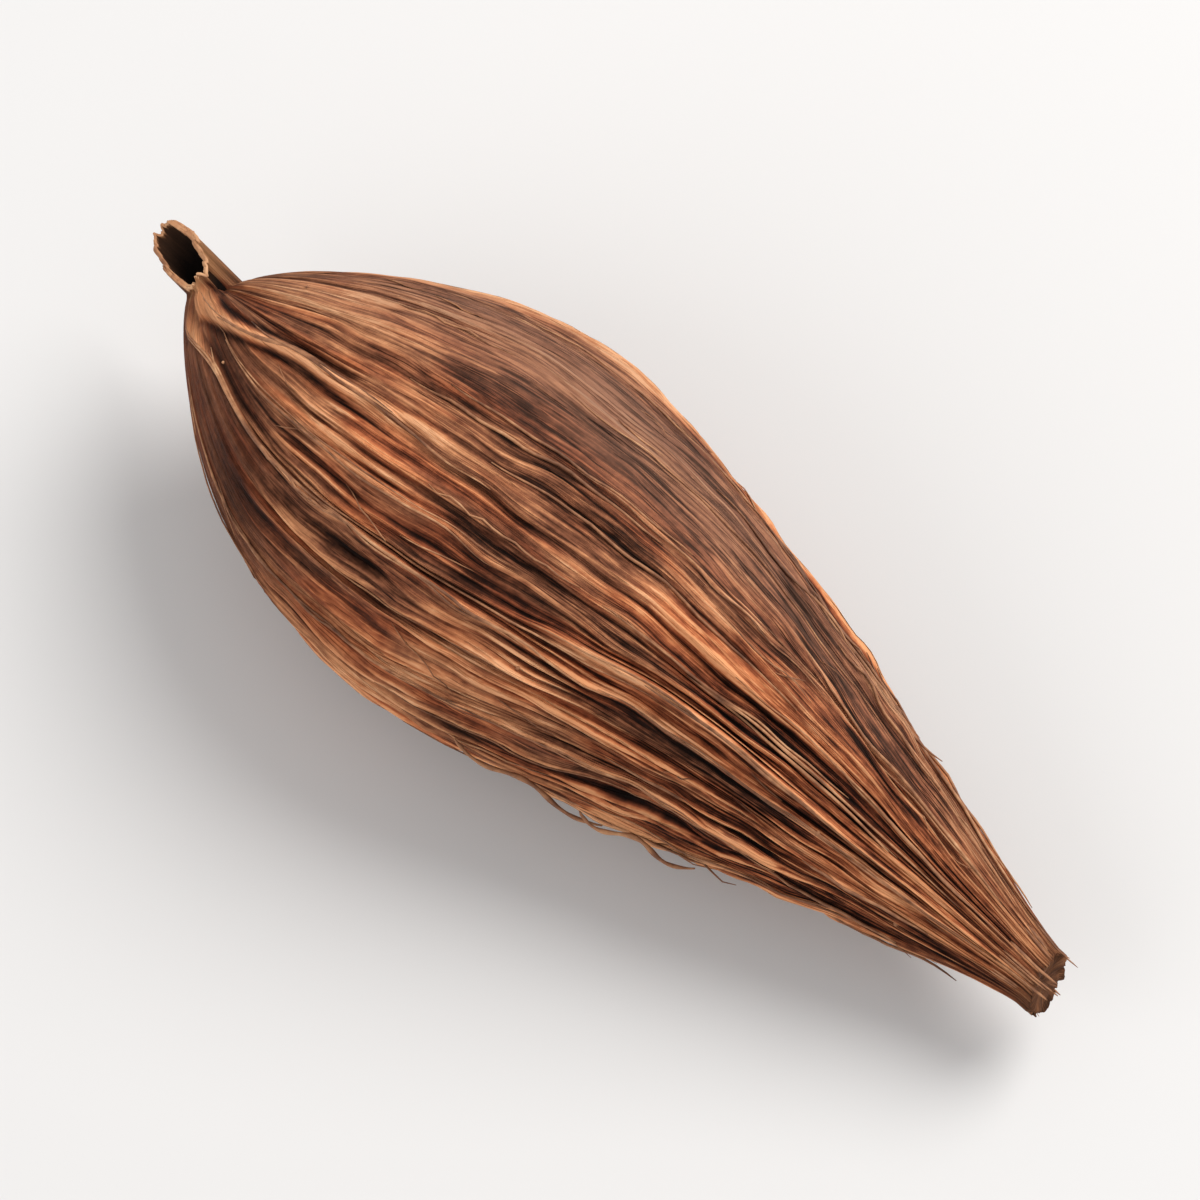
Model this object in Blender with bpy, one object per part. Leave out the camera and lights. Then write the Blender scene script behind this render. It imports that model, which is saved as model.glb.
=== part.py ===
"""A dried black cardamom pod, lying on its side.

It is one seed capsule that grew as one piece: a spindle-shaped husk with ribs
along it, a short open beak at one end, where the flower sat, and the stub of
its stalk at the other. The beak points to -X and the stalk to +X. The pod
rests on a small flat spot at Z = 0, and the origin is under the middle of it.
All lengths are in metres and all angles in radians. An angle round the pod is
measured from +Y towards +Z.
"""

import math
import random

import bmesh
import bpy

# Driving dimensions of the husk
POD_LENGTH = 0.0300
POD_WIDTH = 0.0110
POD_HEIGHT = 0.0103
BELLY_AT = 0.0118
FLAT_SPOT_SINK = 0.00060

# How the husk fills out towards the belly and tapers behind it
SHOULDER_POWER = 0.75
TAPER_START = 1.5
TAPER_POWER = 1.2
CORNER_ANGLE = math.radians(100)
CORNER_SWELL = 0.030

# The pod's axis bows sideways, sinks a little at both ends and leans down towards the stalk
SIDE_BOW = -0.00016
SIDE_SHIFT = -0.00003
END_DROP = 0.0003
STALK_LEAN = 0.090
BEAK_LEAN = 0.00030
BEAK_LEAN_LENGTH = 0.0060

# The beak: a short tube torn off at a slant, with a blunt nose beside it and a crevice behind
BEAK_RADIUS = 0.00064
BEAK_LENGTH = 0.0024
NOSE_REACH = 0.0005
NOSE_ANGLE = math.radians(205)
MOUTH_RADIUS = 0.00048
MOUTH_DEPTH = 0.0013
MOUTH_SLANT = 0.0019
MOUTH_TEAR = 0.00016
MOUTH_FADE = 0.0050
MOUTH_ANGLE = math.radians(115)
CREVICE_DEPTH = 0.00035
CREVICE_ANGLE = math.radians(88)
CREVICE_WIDTH = math.radians(22)
CREVICE_AT = 0.0034
CREVICE_REACH = 0.0026

# The stub of the stalk, broken off unevenly
STUB_RADIUS = 0.00090
STUB_LENGTH = 0.0007
STUB_DISH = 0.0003
STUB_SLANT = 0.0005
STUB_ANGLE = math.radians(60)

# Ribs, which are lower and thinner on the smooth side
RIB_COUNT = 42
RIB_DEPTH = 0.00050
RIB_SEED = 12
RIB_RUNS_OUT_AT = 0.45
ROUND_CREST = 1.9
SHARP_CREST = 0.8
SMOOTH_ANGLE = math.radians(46)
SMOOTH_WIDTH = math.radians(44)

# How finely the husk is faceted
COLUMNS_PER_RIB = 4
COLUMNS = RIB_COUNT * COLUMNS_PER_RIB
RINGS = 34
MOUTH_RINGS = 5
STUB_RINGS = 2

HUSK_BROWN = (0.250, 0.102, 0.053, 1.0)
HUSK_ROUGHNESS = 0.62


def clear_scene():
    for obj in list(bpy.data.objects):
        bpy.data.objects.remove(obj, do_unlink=True)


def blend(low, high, share):
    return low + (high - low) * share


def clamp(value, low=0.0, high=1.0):
    return min(high, max(low, value))


def swell(distance, width):
    """1 at no distance, falling smoothly to 0 at the given width to each side."""
    return 0.5 + 0.5 * math.cos(math.pi * min(1.0, abs(distance) / width))


def turn_between(angle, centre):
    """The signed turn from the centre angle to the angle, by the shorter way."""
    return (angle - centre + math.pi) % (2 * math.pi) - math.pi


class Ribs:
    """The ribs' places and heights, drawn once from a fixed seed."""

    def __init__(self):
        draw = random.Random(RIB_SEED)
        gaps = [draw.uniform(0.6, 1.4) for _ in range(RIB_COUNT)]
        turn = 2 * math.pi / sum(gaps)
        self.gaps = [gap * turn for gap in gaps]
        self.angles = [sum(self.gaps[:i]) for i in range(RIB_COUNT)]
        self.heights = [draw.uniform(0.5, 1.0) for _ in range(RIB_COUNT)]
        self.valleys = [draw.uniform(0.36, 0.64) for _ in range(RIB_COUNT)]
        self.waves = [draw.uniform(0.7, 1.8) for _ in range(RIB_COUNT)]
        self.phases = [draw.uniform(0.0, 2 * math.pi) for _ in range(RIB_COUNT)]

    def crest_angle(self, i, along):
        """The angle of rib i's crest, which wanders a little along the pod."""
        rib = i % RIB_COUNT
        sway = 0.10 * math.sin(2 * math.pi * along + 0.6)
        own = 0.20 * self.gaps[rib] * math.sin(2 * math.pi * self.waves[rib] * along + self.phases[rib])
        return self.angles[rib] + 2 * math.pi * (i // RIB_COUNT) + sway + own

    def crest_height(self, i, along, fullness):
        """Rib i's height, from 0 to 1. Every other rib runs out where the husk narrows."""
        rib = i % RIB_COUNT
        uneven = 0.86 + 0.14 * math.sin(2 * math.pi * 1.7 * along + 2 * self.phases[rib])
        if rib % 2:
            return self.heights[rib] * uneven
        ends_at = RIB_RUNS_OUT_AT * (0.55 + 0.45 * math.sin(self.phases[rib]))
        return self.heights[rib] * uneven * clamp((fullness - ends_at) / 0.2)

    def at(self, rib, share, along, fullness):
        """The angle at a share of the way from a rib to the next, and how high the husk stands there."""
        angle = blend(self.crest_angle(rib, along), self.crest_angle(rib + 1, along), share)
        valley = self.valleys[rib]
        nearest = rib if share <= valley else rib + 1
        down = share / valley if share <= valley else (1 - share) / (1 - valley)
        crest = blend(ROUND_CREST, SHARP_CREST, swell(turn_between(angle, SMOOTH_ANGLE), SMOOTH_WIDTH))
        return angle, (1 - down**crest) * self.crest_height(nearest, along, fullness)


def half_width(from_tip, angle):
    """Half the pod's width over the ribs, at a distance from the beak's tip."""
    belly = POD_WIDTH / 2
    if from_tip < BELLY_AT:
        beak_end = BEAK_LENGTH - NOSE_REACH * math.cos(angle - NOSE_ANGLE)
        share = clamp((from_tip - beak_end) / (BELLY_AT - beak_end))
        return blend(BEAK_RADIUS, belly, math.sin(math.pi / 2 * share) ** SHOULDER_POWER)
    share = clamp((from_tip - BELLY_AT) / (POD_LENGTH - STUB_LENGTH - BELLY_AT))
    return blend(STUB_RADIUS, belly, (1 - share**TAPER_START) ** TAPER_POWER)


def unevenness(along, angle):
    """The husk's broad form, as a factor on its width: three blunt corners and a few dents."""
    corners = CORNER_SWELL * math.cos(3 * (angle - CORNER_ANGLE))
    dents = 0.014 * math.sin(2 * angle + 9.0 * along) + 0.010 * math.sin(5 * angle - 13.0 * along)
    return 1.0 + (corners + dents) * math.sin(math.pi * along) ** 0.5


def place(from_tip, angle, radius):
    """The point at that distance from the tip, on a ray from the pod's bowed axis."""
    along = from_tip / POD_LENGTH
    middle = math.sin(math.pi * along)
    lean = BEAK_LEAN * swell(from_tip, BEAK_LEAN_LENGTH)
    side = SIDE_SHIFT + SIDE_BOW * math.sin(2 * math.pi * along) - lean * math.cos(NOSE_ANGLE)
    drop = END_DROP * (1 - middle) + STALK_LEAN * (from_tip - BELLY_AT) + lean * math.sin(NOSE_ANGLE)
    flatten = blend(1.0, POD_HEIGHT / POD_WIDTH, middle)
    height = POD_HEIGHT / 2 - FLAT_SPOT_SINK - drop + radius * flatten * math.sin(angle)
    return (from_tip - POD_LENGTH / 2, side + radius * math.cos(angle), max(0.0, height))


def husk_point(from_tip, rib, share, ribs):
    """A point on the outside of the husk."""
    along = clamp(from_tip / POD_LENGTH)
    fullness = half_width(from_tip, 0.0) / (POD_WIDTH / 2)
    angle, stands = ribs.at(rib, share, along, fullness)
    smooth = swell(turn_between(angle, SMOOTH_ANGLE), SMOOTH_WIDTH) * fullness
    depth = RIB_DEPTH * fullness**0.85 * (1 - 0.55 * smooth)
    crevice = CREVICE_DEPTH * swell(turn_between(angle, CREVICE_ANGLE), CREVICE_WIDTH)
    crevice *= swell(from_tip - CREVICE_AT, CREVICE_REACH)
    radius = half_width(from_tip, angle) * unevenness(along, angle) - depth * (1 - stands) - crevice
    return place(from_tip, angle, radius)


def torn_off(angle):
    """How far the mouth's rim is back from the tip: most on the side that the mouth faces."""
    slant = MOUTH_SLANT * (0.5 + 0.5 * math.cos(angle - MOUTH_ANGLE))
    return slant + MOUTH_TEAR * (0.5 + 0.5 * math.sin(5 * angle + 1.0))


def mouth_point(inward, rib, share, ribs):
    """A point inside the beak's mouth, from its rim at 0 to the middle of its floor at 1."""
    angle, _ = ribs.at(rib, share, 0.0, 0.0)
    radius = MOUTH_RADIUS * math.cos(math.pi / 2 * inward) ** 0.6
    from_tip = blend(torn_off(angle), MOUTH_SLANT + MOUTH_DEPTH, 1 - (1 - inward) ** 2)
    return place(from_tip, angle, radius)


def broken_off(angle):
    """How far the stalk's broken end is short of the pod's full length."""
    return STUB_SLANT * (0.5 + 0.5 * math.cos(angle - STUB_ANGLE))


def stub_point(inward, rib, share, ribs):
    """A point on the stalk's dished end, from near its edge at 0 to its middle at 1."""
    angle, _ = ribs.at(rib, share, 1.0, 0.0)
    short = blend(broken_off(angle), STUB_SLANT / 2 + STUB_DISH, inward)
    return place(POD_LENGTH - short, angle, 0.8 * STUB_RADIUS * (1 - inward))


def pod_point(ring, column, ribs):
    """Where the vertex of that ring and column of the starting sphere goes."""
    rib, step = divmod(column, COLUMNS_PER_RIB)
    valley = ribs.valleys[rib]
    share = (0.0, 0.55 * valley, valley, 1 - 0.55 * (1 - valley))[step]
    if ring < MOUTH_RINGS:
        return mouth_point(1 - ring / (MOUTH_RINGS - 1), rib, share, ribs)
    last = RINGS - STUB_RINGS - 1
    if ring > last:
        return stub_point((ring - last - 1) / STUB_RINGS, rib, share, ribs)
    even = (ring - MOUTH_RINGS) / (last - MOUTH_RINGS)
    along = blend(even, 0.5 - 0.5 * math.cos(math.pi * even), 0.55)
    angle, _ = ribs.at(rib, share, along, 0.0)
    from_tip = POD_LENGTH * along - broken_off(angle) * along**12
    from_tip += torn_off(angle) * clamp(1 - from_tip / MOUTH_FADE) ** 2
    return husk_point(from_tip, rib, share, ribs)


def shape_pod(sphere):
    """Moves each vertex of the unit sphere to its place on the pod, ring 0 being its lower pole."""
    ribs = Ribs()
    for vert in sphere.verts:
        ring = round(math.acos(clamp(-vert.co.z, -1.0)) * RINGS / math.pi)
        column = round(math.atan2(vert.co.y, vert.co.x) * COLUMNS / (2 * math.pi)) % COLUMNS
        vert.co = pod_point(ring, column, ribs)


def husk_material():
    material = bpy.data.materials.new("husk")
    material.use_nodes = True
    shader = material.node_tree.nodes["Principled BSDF"]
    shader.inputs["Base Color"].default_value = HUSK_BROWN
    shader.inputs["Roughness"].default_value = HUSK_ROUGHNESS
    shader.inputs["Metallic"].default_value = 0.0
    return material


def make_pod(collection):
    sphere = bmesh.new()
    bmesh.ops.create_uvsphere(sphere, u_segments=COLUMNS, v_segments=RINGS, radius=1.0)
    shape_pod(sphere)
    mesh = bpy.data.meshes.new("pod")
    sphere.to_mesh(mesh)
    sphere.free()
    mesh.materials.append(husk_material())
    mesh.shade_smooth()
    pod = bpy.data.objects.new("pod", mesh)
    collection.objects.link(pod)
    return pod


def main():
    clear_scene()
    collection = bpy.data.collections.new("black_cardamom_pod")
    bpy.context.scene.collection.children.link(collection)
    make_pod(collection)


main()
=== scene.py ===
import math
import random

import bmesh
import bpy
import numpy as np
from mathutils import Matrix, Vector


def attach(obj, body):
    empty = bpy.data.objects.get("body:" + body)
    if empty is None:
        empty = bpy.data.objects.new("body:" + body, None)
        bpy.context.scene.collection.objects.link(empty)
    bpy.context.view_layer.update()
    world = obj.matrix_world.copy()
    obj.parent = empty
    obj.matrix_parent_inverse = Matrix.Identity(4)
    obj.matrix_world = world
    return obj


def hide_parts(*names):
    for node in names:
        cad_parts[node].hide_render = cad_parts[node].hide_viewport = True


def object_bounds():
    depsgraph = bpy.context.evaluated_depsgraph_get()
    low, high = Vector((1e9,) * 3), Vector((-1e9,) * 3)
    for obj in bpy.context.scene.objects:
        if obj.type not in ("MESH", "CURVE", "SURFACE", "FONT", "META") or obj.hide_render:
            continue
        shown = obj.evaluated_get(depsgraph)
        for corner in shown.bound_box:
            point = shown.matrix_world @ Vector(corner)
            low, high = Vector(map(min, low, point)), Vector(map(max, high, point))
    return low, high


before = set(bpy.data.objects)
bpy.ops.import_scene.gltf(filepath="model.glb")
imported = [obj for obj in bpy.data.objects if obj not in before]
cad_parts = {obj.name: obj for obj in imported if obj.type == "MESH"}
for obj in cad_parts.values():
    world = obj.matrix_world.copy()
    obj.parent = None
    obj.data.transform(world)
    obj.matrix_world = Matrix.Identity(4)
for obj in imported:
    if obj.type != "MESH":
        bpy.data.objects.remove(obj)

cadLow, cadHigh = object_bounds()
print("frame loaded: the CAD pod's box is", [round(v * 1000, 2) for v in (*cadLow, *cadHigh)], "mm")

# The husk as the CAD source has it, in metres and radians: an angle round the pod runs from +Y towards +Z
husk = {
    "length": 0.0300, "width": 0.0110, "height": 0.0103, "bellyAt": 0.0118, "flatSpotSink": 0.00060,
    "shoulderPower": 0.75, "taperStart": 1.5, "taperPower": 1.2,
    "cornerAngle": math.radians(100), "cornerSwell": 0.030,
    "dents": ((0.014, 2, 9.0), (0.010, 5, -13.0)),  # height, how many round the pod, turn along it
    "sideBow": -0.00016, "sideShift": -0.00003, "endDrop": 0.0003, "stalkLean": 0.090,
    "beakLean": 0.00030, "beakLeanLength": 0.0060,
    "beakRadius": 0.00064, "beakLength": 0.0024, "noseReach": 0.0005, "noseAngle": math.radians(205),
    "mouthRadius": 0.00048, "mouthDepth": 0.0013, "mouthSlant": 0.0019, "mouthTear": 0.00016,
    "mouthTears": 5, "mouthFade": 0.0050, "mouthAngle": math.radians(115),
    "creviceDepth": 0.00035, "creviceAngle": math.radians(88), "creviceWidth": math.radians(22),
    "creviceAt": 0.0034, "creviceReach": 0.0026,
    "stubRadius": 0.00090, "stubLength": 0.0007, "stubDish": 0.0003, "stubSlant": 0.0005,
    "stubAngle": math.radians(60),
    "ribCount": 42, "ribDepth": 0.00050, "ribSeed": 12, "ribGap": (0.6, 1.4), "ribHeight": (0.5, 1.0),
    "ribValley": (0.36, 0.64), "ribWaves": (0.7, 1.8), "ribSway": 0.10, "ribSwayTurn": 0.6,
    "ribOwnSway": 0.20, "crestDip": 0.14, "crestDips": 1.7,
    "ribRunsOutAt": 0.45, "ribRunsOutVaries": 0.45, "ribRunsOutOver": 0.2,
    "sharpCrest": 0.8, "smoothAngle": math.radians(46), "smoothWidth": math.radians(44),
}

# What this finer skin adds to it
skin = {
    "stepsToValley": 8, "rings": 148, "mouthRings": 11, "stubRings": 6, "crowdedAtEnds": 0.50, "seed": 31,
    # each unevenness: its lattice's seed, its length along the pod and its steps to a rib
    "noises": {
        "crestNicks": (4, 0.0007, 1), "crestUneven": (5, 0.0019, 1), "lesserUneven": (6, 0.0026, 1),
        "lesserBend": (7, 0.0031, 1), "wiggle": (11, 0.0038, 1 / 2), "shiver": (12, 0.0012, 1),
        "vein": (13, 0.0026, 1), "crack": (14, 0.0034, 2), "wrinkleSwing": (15, 0.0040, 1 / 2),
        "wrinkle": (16, 0.0048, 3), "grain": (21, 0.0010, 4), "pit": (22, 0.00035, 6),
        "dent": (23, 0.0032, 1 / 3), "depthUneven": (24, 0.0045, 1 / 3), "stubTeeth": (25, 1.0, 1 / 2),
        "mouthFold": (26, 0.0009, 1 / 2), "stump": (27, 0.2, 1 / 2), "sinks": (28, 0.0065, 4 / 7),
        "stubSplinters": (29, 1.0, 2), "fills": (33, 0.0021, 1),
    },
    # those that come in patches: their mean, their swing and the most there is of them
    "patches": {"fills": (0.085, 1.105, 1.0), "sinks": (-0.25, 2.4, 1.0), "vein": (0.50, 0.90, 1.2),
                "crack": (0.35, 1.10, 1.2)},
    "wiggle": 0.16, "shiver": 0.085, "wiggleFade": 2, "roundCrest": 1.05, "ridgesMeet": 10,
    "lesserPlace": (0.40, 0.72), "lesserHeight": (0.48, 0.92), "lesserWidth": (0.11, 0.165),
    "lesserMiddle": (0.15, 0.85), "lesserReach": (0.14, 0.55), "lesserTurns": (0.0, 1.0, 1.0),
    "lesserTurnsIn": 6, "lesserEndsIn": 8, "lesserCrest": 1.2, "lesserBend": 0.05,
    "lesserUneven": (0.85, 0.35), "lesserFrom": 0.40, "lesserFade": 0.25,
    "openShare": 0.36, "openAt": 0.0205, "openReach": 0.0120, "openLowers": 0.65,
    "crestUneven": 0.30, "crestNicks": 0.13,
    "depthUneven": 0.35, "depthPower": 0.85, "shallower": 0.26, "smoothShallower": 0.55,
    "calmShallower": 0.80,
    "sinks": 0.85, "sinkAt": 0.0215, "sinkReach": 0.0150, "fillsTo": 0.72,
    "vein": 0.000075, "veinWidth": 0.085, "crack": 0.00012, "crackAt": 0.27, "crackWidth": 0.070,
    "wrinkle": 0.000050, "wrinkleWidth": 0.30, "wrinkleMean": 0.35, "wrinkleSwing": 0.24,
    "grain": 0.000024, "pit": 0.000014, "dent": 0.00008,
    "fineFade": (1.6, 0.10, 0.08), "smoothFiner": 0.45, "calmFiner": 0.60,
    "knots": 40, "knotAt": (0.004, 0.027), "knotSize": (0.4, 1.2),
    "knotHeight": 0.00007, "knotLength": 0.00040, "knotWidth": 0.24,
    "calmAngle": math.radians(153), "calmWidth": math.radians(66), "calmRound": 1.8,
    "calmAt": 0.002, "calmReach": (0.0058, 0.0105), "calmAlong": 1.6,
    "calmReachesFrom": math.radians(128), "calmReachesTo": math.radians(160),
    "tailDeepens": 0.62, "tailAt": 0.0225, "tailReach": 0.0085, "tailRougher": 0.70, "tailWavier": 0.60,
    "tops": 0.00003,
    # painted shade: the lower rear flank near the stalk is painted darker, by this much, round this angle and
    # along this stretch
    "paintedShade": 1.80, "paintedShadeAngle": math.radians(182), "paintedShadeWidth": math.radians(52), "paintedShadeAt": 0.0205,
    "paintedShadeReach": 0.0095,
    # painted light: the nose is painted lighter, by this much, round this angle and along this stretch
    "paintedNoseLight": 0.95, "noseAngle": math.radians(136), "noseWidth": math.radians(26), "noseAt": 0.0021,
    "noseReach": 0.0019,
    "stubRagged": 0.00030, "stubRaggedIn": 14, "stubSplinters": 0.25, "stubWoodFrom": 0.0011,
    "stubWoodOver": 0.0008, "stump": 0.00010, "stubInset": 0.92, "stumpTone": (1.2, 0.3),
    "rimRagged": 0.00022, "rimInside": 0.015,
    "rimTeeth": ((0.5, 11, 2.0), (0.3, 23, 0.0), (0.2, 41, 1.0)),  # share, how many, turn
    "lipAngle": math.radians(35), "lipTurn": 1.1, "lipWidth": 0.00035, "lipWider": 0.0016,
    "mouthCrowded": 1.7, "mouthRound": 0.6, "mouthFold": 0.00005, "foldTone": 2.5,
    # painted shade: how fast the mouth's hollow is painted darker, going in
    "mouthShadeDeepens": (40.0, 5.0),
    # tone steps: the skin is painted darker in its grooves, as painted shade, and lighter on its crests, by
    # how it stands out at each width
    "toneSteps": ((0.85, 1.4), (0.55, 3.2), (0.25, 8.0), (0.24, 22.0)),  # share, columns
    "leastRelief": 0.000004,
}

# The raised crests that start on the nose: each joins a rib, follows it and splits in two. They are painted
# lighter, partly their worn amber colour and partly painted highlight, and darker in the grooves beside them:
# painted shade
raisedCrests = (
    {"startsAt": 0.0019, "joinsAt": 0.0064, "ribAngle": math.radians(101), "noseAngle": math.radians(136),
     "height": 0.00025, "width": 0.000120, "splitsAt": 0.0062, "splitLength": 0.0040, "splitTo": 2.1,
     "endsAt": 0.0130, "fade": 0.0075, "glow": 1.0},
    {"startsAt": 0.0023, "joinsAt": 0.0046, "ribAngle": math.radians(133), "noseAngle": math.radians(165),
     "height": 0.00012, "width": 0.000080, "splitsAt": 0.0056, "splitLength": 0.0030, "splitTo": 2.2,
     "endsAt": 0.0100, "fade": 0.0060, "glow": 0.55},
)
crestForm = {"rise": 0.0004, "grooveApart": 2.0, "grooveWidth": 0.6, "grooveDepth": 0.35}


def blend(low, high, share):
    return low + (high - low) * share


def swell(distance, width):
    return 0.5 + 0.5 * np.cos(np.pi * np.minimum(1.0, np.abs(distance) / width))


def turnBetween(angle, centre):
    return (angle - centre + np.pi) % (2 * np.pi) - np.pi


# Value noise from -1 to 1 on a lattice that closes round the pod
def softNoise(seed, x, y, roundTrip):
    lattice = np.random.default_rng(seed).uniform(-1, 1, (int(np.max(x)) + 3, roundTrip))
    ix, iy = np.floor(x).astype(int), np.floor(y).astype(int)
    fx, fy = x - ix, y - iy
    fx, fy = fx * fx * (3 - 2 * fx), fy * fy * (3 - 2 * fy)
    near = blend(lattice[ix, iy % roundTrip], lattice[ix, (iy + 1) % roundTrip], fy)
    far = blend(lattice[ix + 1, iy % roundTrip], lattice[ix + 1, (iy + 1) % roundTrip], fy)
    return blend(near, far, fx)


# The ribs' places and heights, drawn in the same order as in the CAD source
ribCount = husk["ribCount"]


def forEachRib(draw, low, high):
    return np.array([draw.uniform(low, high) for _ in range(ribCount)])


draw = random.Random(husk["ribSeed"])
gaps = forEachRib(draw, *husk["ribGap"])
gaps *= 2 * math.pi / gaps.sum()
crestAngles = np.cumsum(gaps) - gaps
crestHeights = forEachRib(draw, *husk["ribHeight"])
valleyShares = forEachRib(draw, *husk["ribValley"])
waves = forEachRib(draw, *husk["ribWaves"])
phases = forEachRib(draw, 0.0, 2 * math.pi)

# What only this skin has: two lesser ridges between each rib and the next, open grooves and small knots
draw = random.Random(skin["seed"])
lesser = []
for side in (0.0, 1.0):
    ridge = {"joins": side}
    for key in ("Place", "Height", "Width", "Middle", "Reach"):
        ridge[key.lower()] = forEachRib(draw, *skin["lesser" + key])
    ridge["turns"] = np.array([draw.choice(skin["lesserTurns"]) for _ in range(ribCount)])
    lesser.append(ridge)
openGrooves = np.array([float(draw.random() < skin["openShare"]) for _ in range(ribCount)])
knots = [(draw.randrange(ribCount), draw.uniform(*skin["knotAt"]), draw.uniform(*skin["knotSize"]))
         for _ in range(skin["knots"])]


def skinNoise(name, fromTip, across, side=0):
    seed, length, perRib = skin["noises"][name]
    return softNoise(seed + side, fromTip / length, across * perRib, round(ribCount * perRib))


def inPatches(name, fromTip, across):
    mean, swing, most = skin["patches"][name]
    return np.clip(mean + swing * skinNoise(name, fromTip, across), 0, most)


# How near a place is, along the pod and round it, to one that a piece's dictionary names
def alongNear(kind, name, fromTip):
    return swell(fromTip - kind[name + "At"], kind[name + "Reach"])


def roundNear(kind, name, angle):
    return swell(turnBetween(angle, kind[name + "Angle"]), kind[name + "Width"])


def crestAngle(i, along):
    rib = i % ribCount
    sway = husk["ribSway"] * np.sin(2 * np.pi * along + husk["ribSwayTurn"])
    own = husk["ribOwnSway"] * gaps[rib] * np.sin(2 * np.pi * waves[rib] * along + phases[rib])
    return crestAngles[rib] + 2 * np.pi * (i // ribCount) + sway + own


def crestHeight(i, along, fullness):
    rib = i % ribCount
    uneven = 1 + husk["crestDip"] * (np.sin(2 * np.pi * husk["crestDips"] * along + 2 * phases[rib]) - 1)
    endsAt = husk["ribRunsOutAt"] * (1 + husk["ribRunsOutVaries"] * (np.sin(phases[rib]) - 1))
    lasts = np.where(rib % 2 == 1, 1.0, np.clip((fullness - endsAt) / husk["ribRunsOutOver"], 0, 1))
    return crestHeights[rib] * uneven * lasts


def huskAngle(rib, share, along):
    return blend(crestAngle(rib, along), crestAngle(rib + 1, along), share)


def halfWidth(fromTip, angle):
    belly = husk["width"] / 2
    beakEnd = husk["beakLength"] - husk["noseReach"] * np.cos(angle - husk["noseAngle"])
    front = np.clip((fromTip - beakEnd) / (husk["bellyAt"] - beakEnd), 0, 1)
    front = blend(husk["beakRadius"], belly, np.sin(np.pi / 2 * front) ** husk["shoulderPower"])
    rear = (fromTip - husk["bellyAt"]) / (husk["length"] - husk["stubLength"] - husk["bellyAt"])
    rear = (1 - np.clip(rear, 0, 1) ** husk["taperStart"]) ** husk["taperPower"]
    return np.where(fromTip < husk["bellyAt"], front, blend(husk["stubRadius"], belly, rear))


def unevenness(along, angle):
    bulge = husk["cornerSwell"] * np.cos(3 * (angle - husk["cornerAngle"]))
    for height, count, turn in husk["dents"]:
        bulge = bulge + height * np.sin(count * angle + turn * along)
    return 1.0 + bulge * np.sin(np.pi * along) ** 0.5


def place(fromTip, angle, radius):
    along = fromTip / husk["length"]
    middle = np.sin(np.pi * np.clip(along, 0, 1))
    lean = husk["beakLean"] * swell(fromTip, husk["beakLeanLength"])
    side = husk["sideShift"] + husk["sideBow"] * np.sin(2 * np.pi * along)
    side = side - lean * math.cos(husk["noseAngle"])
    drop = husk["endDrop"] * (1 - middle) + husk["stalkLean"] * (fromTip - husk["bellyAt"])
    drop = drop + lean * math.sin(husk["noseAngle"])
    flatten = blend(1.0, husk["height"] / husk["width"], middle)
    height = husk["height"] / 2 - husk["flatSpotSink"] - drop + radius * flatten * np.sin(angle)
    y = side + radius * np.cos(angle)
    return np.stack([fromTip - husk["length"] / 2 + 0 * y, y, np.maximum(0.0, height)], axis=-1)


def tornOff(angle):
    slant = husk["mouthSlant"] * (0.5 + 0.5 * np.cos(angle - husk["mouthAngle"]))
    tear = husk["mouthTear"] * (0.5 + 0.5 * np.sin(husk["mouthTears"] * angle + 1.0))
    ragged = sum(share * np.sin(count * angle + turn) for share, count, turn in skin["rimTeeth"])
    return slant + tear + skin["rimRagged"] * (0.5 + ragged) / 2


def brokenOff(angle):
    return husk["stubSlant"] * (0.5 + 0.5 * np.cos(angle - husk["stubAngle"]))


def raisedCrestAngle(kind, fromTip):
    ribs = crestAngle(np.arange(ribCount), kind["joinsAt"] / husk["length"])
    rib = int(np.argmin(np.abs(turnBetween(ribs, kind["ribAngle"]))))
    onRib = crestAngle(rib, np.clip(fromTip / husk["length"], 0, 1))
    early = np.clip((kind["joinsAt"] - fromTip) / (kind["joinsAt"] - kind["startsAt"]), 0, 1)
    return onRib + early**2 * turnBetween(kind["noseAngle"], onRib)


def raisedCrest(kind, fromTip, angle):
    away = turnBetween(angle, raisedCrestAngle(kind, fromTip)) * halfWidth(fromTip, 0.0) / kind["width"]
    rises = np.clip((fromTip - kind["startsAt"]) / crestForm["rise"], 0, 1)
    ends = np.clip((kind["endsAt"] - fromTip) / kind["fade"], 0, 1)
    split = kind["splitTo"] * np.clip((fromTip - kind["splitsAt"]) / kind["splitLength"], 0, 1)
    fromRidge = np.abs(away) - split
    groove = np.exp(-(((fromRidge - crestForm["grooveApart"]) / crestForm["grooveWidth"]) ** 2))
    return (np.exp(-(fromRidge**2)) - crestForm["grooveDepth"] * groove) * rises * ends


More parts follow.
